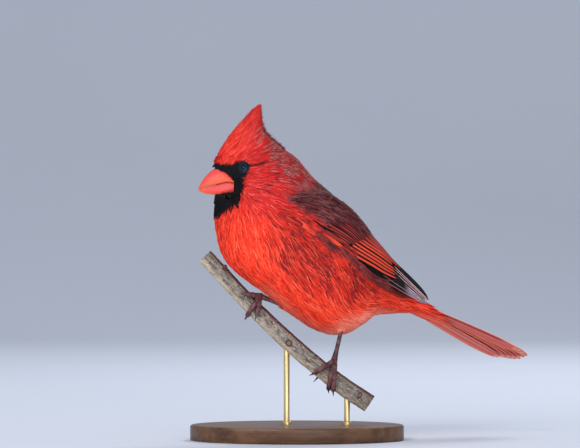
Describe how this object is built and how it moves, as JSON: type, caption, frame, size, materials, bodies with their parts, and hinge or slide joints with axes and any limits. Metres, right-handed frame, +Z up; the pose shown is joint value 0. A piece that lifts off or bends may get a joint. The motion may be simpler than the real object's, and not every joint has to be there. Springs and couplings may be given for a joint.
{
  "type": "northern cardinal display model",
  "caption": "Life-size male northern cardinal with raised crest, gripping a cut length of slanted branch on two short rods over a flat oval base.",
  "frame": {"origin": "middle of the flat underside of the stand's base", "axes": "+Z up, -X the way the bird faces, -Y towards its left side"},
  "size_m": [0.1996, 0.1041, 0.1957],
  "materials": {
    "plumage": "soft matte body feathers, vivid orange-red",
    "flight_feathers": "satin vanes, dark brown-red with orange-red edges",
    "tail_feathers": "satin vanes, maroon red",
    "bill": "smooth coral horn",
    "eye": "wet gloss, near black",
    "leg_skin": "scaled skin, dark purplish brown",
    "claw": "dark horn",
    "bark": "rough grey-brown bark with pale pores",
    "stand_wood": "stained and waxed",
    "stand_metal": "satin brass"
  },
  "bodies": {
    "root": {"head": "plumage", "crest": "plumage", "neck": "plumage", "torso": "plumage", "wing_left": "flight_feathers", "wing_right": "flight_feathers", "tail": "tail_feathers", "bill_upper": "bill", "bill_lower": "bill", "eye_left": "eye", "eye_right": "eye", "leg_left": "leg_skin", "leg_right": "leg_skin", "foot_left": "leg_skin", "foot_right": "leg_skin", "claw_left_inner": "claw", "claw_left_middle": "claw", "claw_left_outer": "claw", "claw_left_hind": "claw", "claw_right_inner": "claw", "claw_right_middle": "claw", "claw_right_outer": "claw", "claw_right_hind": "claw", "perch": "bark", "stand_base": "stand_wood", "stand_rod_upper": "stand_metal", "stand_rod_lower": "stand_metal"}
  },
  "joints": []
}
